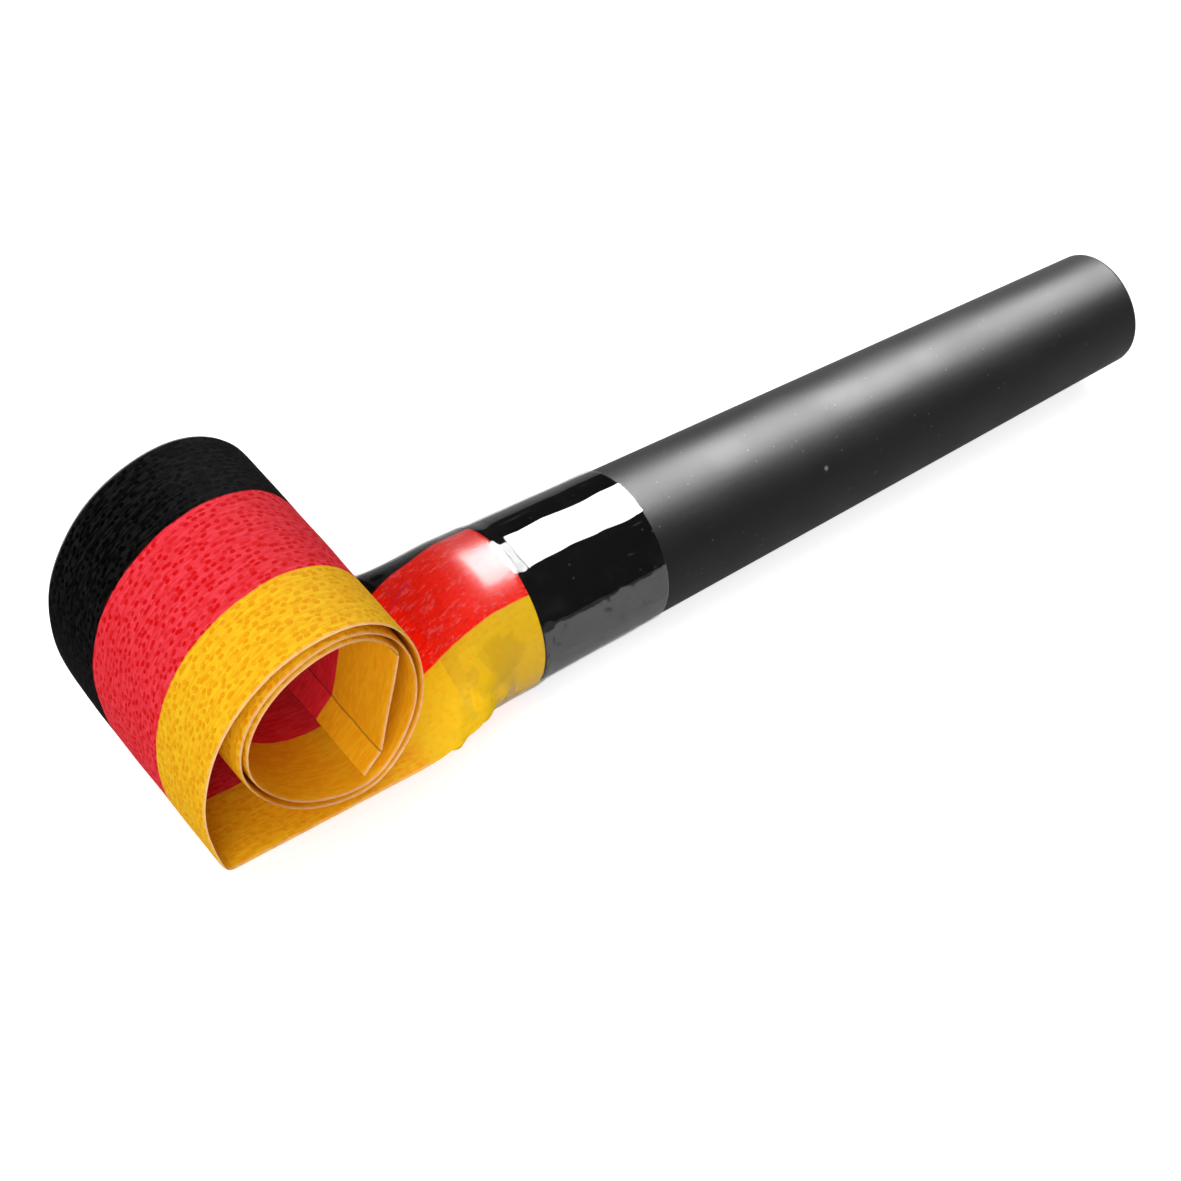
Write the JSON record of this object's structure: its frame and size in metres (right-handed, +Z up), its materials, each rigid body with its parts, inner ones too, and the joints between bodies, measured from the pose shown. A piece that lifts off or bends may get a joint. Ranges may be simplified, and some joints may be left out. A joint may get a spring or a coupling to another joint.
{
  "type": "party horn blower",
  "caption": "Party horn blower: a tapered black mouthpiece with a reed inside, taped to a striped paper tube that is rolled into a coil and unrolls when blown.",
  "frame": {"origin": "centre of the mouth opening, on the mouthpiece's axis", "axes": "+X out of the mouth along the mouthpiece's axis, +Z up, on the side of the strip that the coil lies on"},
  "size_m": [0.0909, 0.0196, 0.0261],
  "materials": {
    "black_plastic": "satin",
    "reed_plastic": "satin",
    "reed_strip": "satin",
    "striped_paper": "matte",
    "clear_tape": "gloss",
    "spring_wire": "satin"
  },
  "bodies": {
    "mouthpiece": {"mouthpiece_tube": "black_plastic", "reed_holder": "reed_plastic", "reed_root": "reed_strip", "reed_wedge": "reed_plastic", "paper_neck": "striped_paper", "paper_run": "striped_paper", "clear_tape": "clear_tape", "recoil_wire_run": "spring_wire"},
    "reed": {"reed_tongue": "reed_strip"},
    "link_01": {"paper_panel_01": "striped_paper", "recoil_wire_01": "spring_wire"},
    "link_02": {"paper_panel_02": "striped_paper", "recoil_wire_02": "spring_wire"},
    "link_03": {"paper_panel_03": "striped_paper", "recoil_wire_03": "spring_wire"},
    "link_04": {"paper_panel_04": "striped_paper", "recoil_wire_04": "spring_wire"},
    "link_05": {"paper_panel_05": "striped_paper", "recoil_wire_05": "spring_wire"},
    "link_06": {"paper_panel_06": "striped_paper", "recoil_wire_06": "spring_wire"},
    "link_07": {"paper_panel_07": "striped_paper", "recoil_wire_07": "spring_wire"},
    "link_08": {"paper_panel_08": "striped_paper", "recoil_wire_08": "spring_wire"},
    "link_09": {"paper_panel_09": "striped_paper", "recoil_wire_09": "spring_wire"},
    "link_10": {"paper_panel_10": "striped_paper", "recoil_wire_10": "spring_wire"},
    "link_11": {"paper_panel_11": "striped_paper", "recoil_wire_11": "spring_wire"},
    "link_12": {"paper_panel_12": "striped_paper", "recoil_wire_12": "spring_wire", "end_flap": "striped_paper"}
  },
  "joints": [
    {"name": "unroll_01", "type": "hinge", "parent": "mouthpiece", "child": "link_01", "pos_m": [-0.0893, 0, 0.00075], "axis": [0, -1, 0], "range_deg": [0, 101.79], "stiffness_Nm_per_rad": 0.002},
    {"name": "unroll_02", "type": "hinge", "parent": "link_01", "child": "link_02", "pos_m": [-0.08562, 0, 0.0184], "axis": [0, -1, 0], "range_deg": [0, 92.39]},
    {"name": "unroll_03", "type": "hinge", "parent": "link_02", "child": "link_03", "pos_m": [-0.07591, 0, 0.01648], "axis": [0, -1, 0], "range_deg": [0, 80.67]},
    {"name": "unroll_04", "type": "hinge", "parent": "link_03", "child": "link_04", "pos_m": [-0.07566, 0, 0.004], "axis": [0, -1, 0], "range_deg": [0, 86.46]},
    {"name": "unroll_05", "type": "hinge", "parent": "link_04", "child": "link_05", "pos_m": [-0.08394, 0, 0.00288], "axis": [0, -1, 0], "range_deg": [0, 84.05]},
    {"name": "unroll_06", "type": "hinge", "parent": "link_05", "child": "link_06", "pos_m": [-0.08733, 0, 0.0142], "axis": [0, -1, 0], "range_deg": [0, 82.2]},
    {"name": "unroll_07", "type": "hinge", "parent": "link_06", "child": "link_07", "pos_m": [-0.08024, 0, 0.01788], "axis": [0, -1, 0], "range_deg": [0, 88.17]},
    {"name": "unroll_08", "type": "hinge", "parent": "link_07", "child": "link_08", "pos_m": [-0.07458, 0, 0.00892], "axis": [0, -1, 0], "range_deg": [0, 79.02]},
    {"name": "unroll_09", "type": "hinge", "parent": "link_08", "child": "link_09", "pos_m": [-0.08021, 0, 0.00304], "axis": [0, -1, 0], "range_deg": [0, 90.88]},
    {"name": "unroll_10", "type": "hinge", "parent": "link_09", "child": "link_10", "pos_m": [-0.08696, 0, 0.00903], "axis": [0, -1, 0], "range_deg": [0, 77.73]},
    {"name": "unroll_11", "type": "hinge", "parent": "link_10", "child": "link_11", "pos_m": [-0.0832, 0, 0.01662], "axis": [0, -1, 0], "range_deg": [0, 91.22]},
    {"name": "unroll_12", "type": "hinge", "parent": "link_11", "child": "link_12", "pos_m": [-0.07642, 0, 0.01352], "axis": [0, -1, 0], "range_deg": [0, 76.43]},
    {"name": "reed_flex", "type": "hinge", "parent": "mouthpiece", "child": "reed", "pos_m": [-0.04935, 0, 0.00009], "axis": [0, -1, 0], "range_deg": [0, 4], "stiffness_Nm_per_rad": 0.002}
  ],
  "couplings": [
    {"joint": "unroll_02", "follows": "unroll_01", "ratio": 0.87815},
    {"joint": "unroll_03", "follows": "unroll_01", "ratio": 0.76309},
    {"joint": "unroll_04", "follows": "unroll_01", "ratio": 0.81989},
    {"joint": "unroll_05", "follows": "unroll_01", "ratio": 0.79627},
    {"joint": "unroll_06", "follows": "unroll_01", "ratio": 0.77811},
    {"joint": "unroll_07", "follows": "unroll_01", "ratio": 0.83668},
    {"joint": "unroll_08", "follows": "unroll_01", "ratio": 0.74686},
    {"joint": "unroll_09", "follows": "unroll_01", "ratio": 0.86336},
    {"joint": "unroll_10", "follows": "unroll_01", "ratio": 0.73415},
    {"joint": "unroll_11", "follows": "unroll_01", "ratio": 0.86666},
    {"joint": "unroll_12", "follows": "unroll_01", "ratio": 0.72142}
  ]
}
